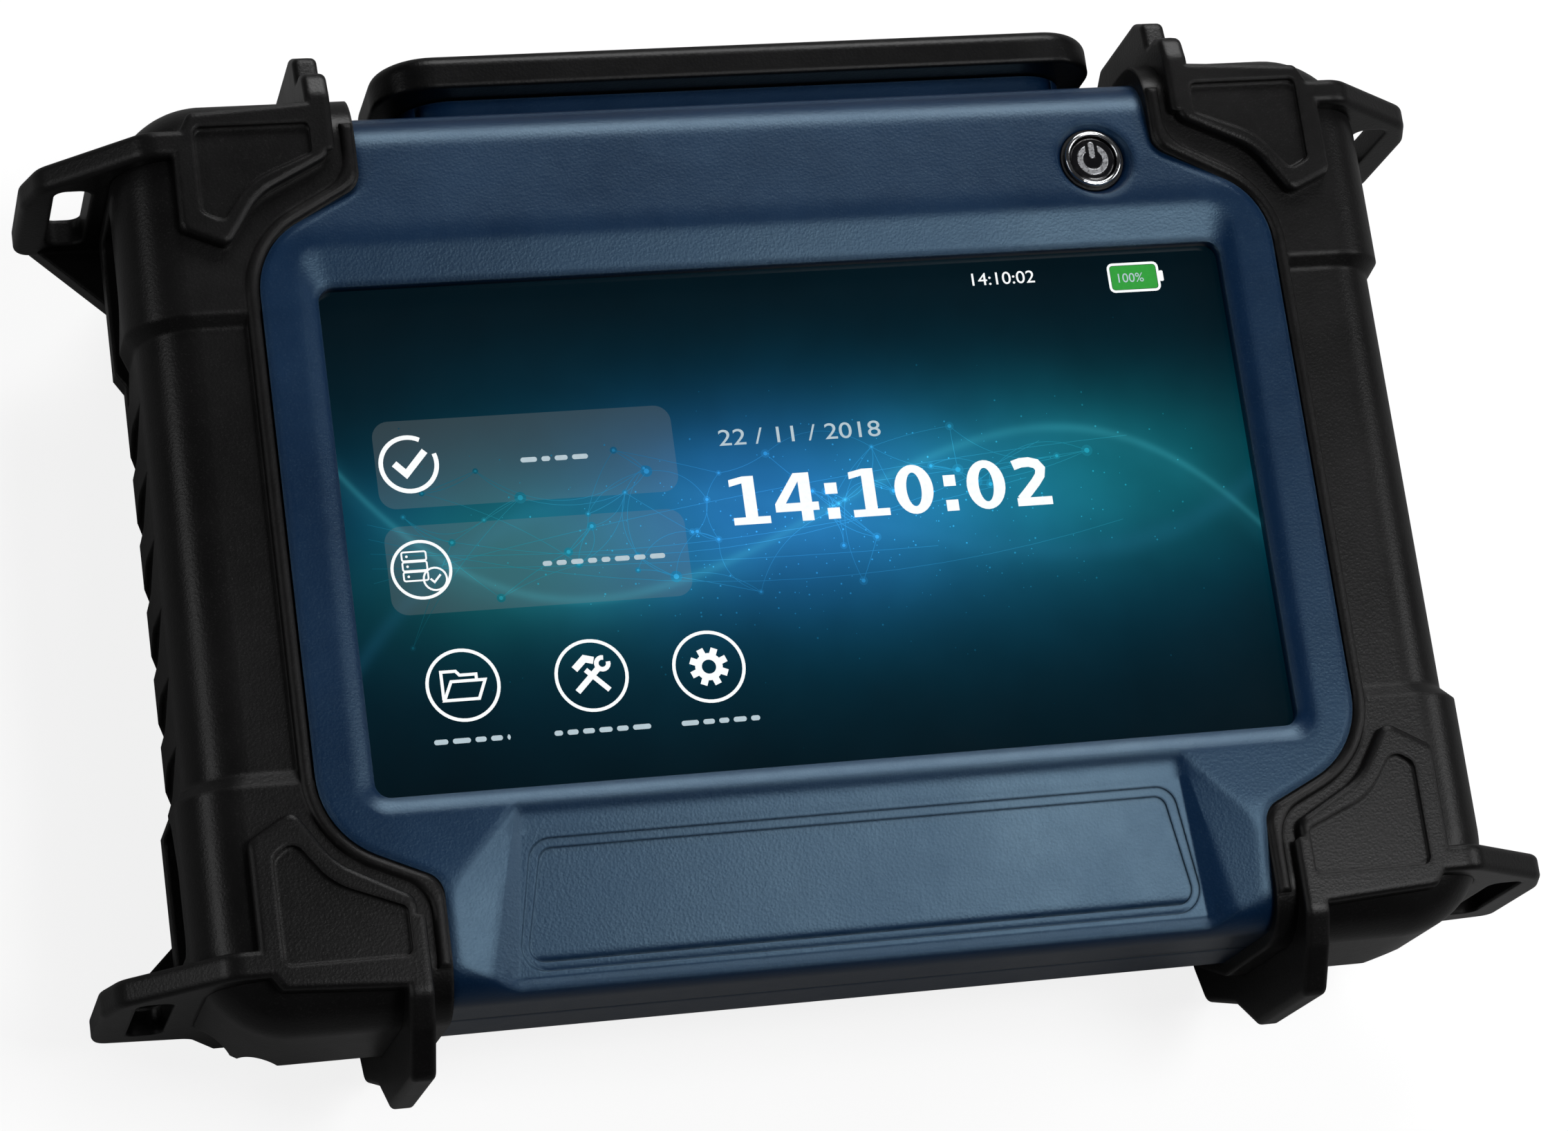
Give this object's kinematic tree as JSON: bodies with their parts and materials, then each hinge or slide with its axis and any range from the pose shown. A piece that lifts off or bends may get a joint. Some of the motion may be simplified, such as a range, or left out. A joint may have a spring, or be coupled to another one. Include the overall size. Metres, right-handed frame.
{
  "type": "handheld network cable tester",
  "caption": "Rugged handheld cable tester with a wide touch screen, rubber side grips, corner bumpers with strap loops, and a port cover along the top edge.",
  "frame": {"origin": "centre of the footprint, in the plane of the four rear bumper pads", "axes": "+Z is the screen's outward normal, +Y towards the top edge with the test ports, +X to the right as the screen is read"},
  "size_m": [0.246, 0.176, 0.0612],
  "materials": {
    "blue_plastic": "satin, fine spark texture",
    "black_rubber": "satin",
    "screen_glass": "gloss",
    "display": "gloss",
    "black_plastic": "matt",
    "steel": "brushed",
    "chrome": "polished",
    "zinc_screw": "plated",
    "circuit_board": "solder mask",
    "nickel": "nickel plated",
    "button_gloss": "gloss",
    "mark_silver": "satin"
  },
  "bodies": {
    "case": {"front_cover": "blue_plastic", "back_cover": "blue_plastic", "case_seal": "black_rubber", "grip_right": "black_rubber", "grip_left": "black_rubber", "bumper_top_right": "black_rubber", "bumper_top_left": "black_rubber", "bumper_bottom_right": "black_rubber", "bumper_bottom_left": "black_rubber", "touch_glass": "screen_glass", "glass_gasket": "black_rubber", "display_panel": "display", "display_bracket": "steel", "display_screws": "zinc_screw", "main_board": "circuit_board", "board_screws": "zinc_screw", "signal_shield": "nickel", "speaker": "black_plastic", "power_button_ring": "chrome", "power_button_sleeve": "black_plastic", "power_switch": "black_plastic", "port_panel": "black_plastic", "rj45_jack": "nickel", "sfp_cages": "nickel", "usb_socket": "nickel", "dc_jack": "black_plastic", "port_cover_pins": "steel", "tilt_stand_pins": "steel", "battery_pack": "black_plastic", "battery_contacts": "black_plastic", "battery_hatch": "blue_plastic", "hatch_screws": "zinc_screw", "case_screws": "zinc_screw"},
    "power_button": {"power_button_cap": "button_gloss", "power_symbol": "mark_silver"},
    "port_cover_leaf": {"port_cover": "black_rubber", "port_cover_seal": "black_rubber"},
    "stand": {"tilt_stand": "black_plastic", "tilt_stand_foot": "black_rubber"}
  },
  "joints": [
    {"name": "power_button_press", "type": "slide", "parent": "case", "child": "power_button", "axis": [0, 0, -1], "range_m": [0, 0.0008], "stiffness_N_per_m": 900},
    {"name": "port_cover_hinge", "type": "hinge", "parent": "case", "child": "port_cover_leaf", "pos_m": [0.002, 0.0804, 0.0126], "axis": [-1, 0, 0], "range_deg": [0, 90]},
    {"name": "tilt_stand_hinge", "type": "hinge", "parent": "case", "child": "stand", "pos_m": [0, 0.051, 0.0062], "axis": [1, 0, 0], "range_deg": [0, 60]}
  ]
}
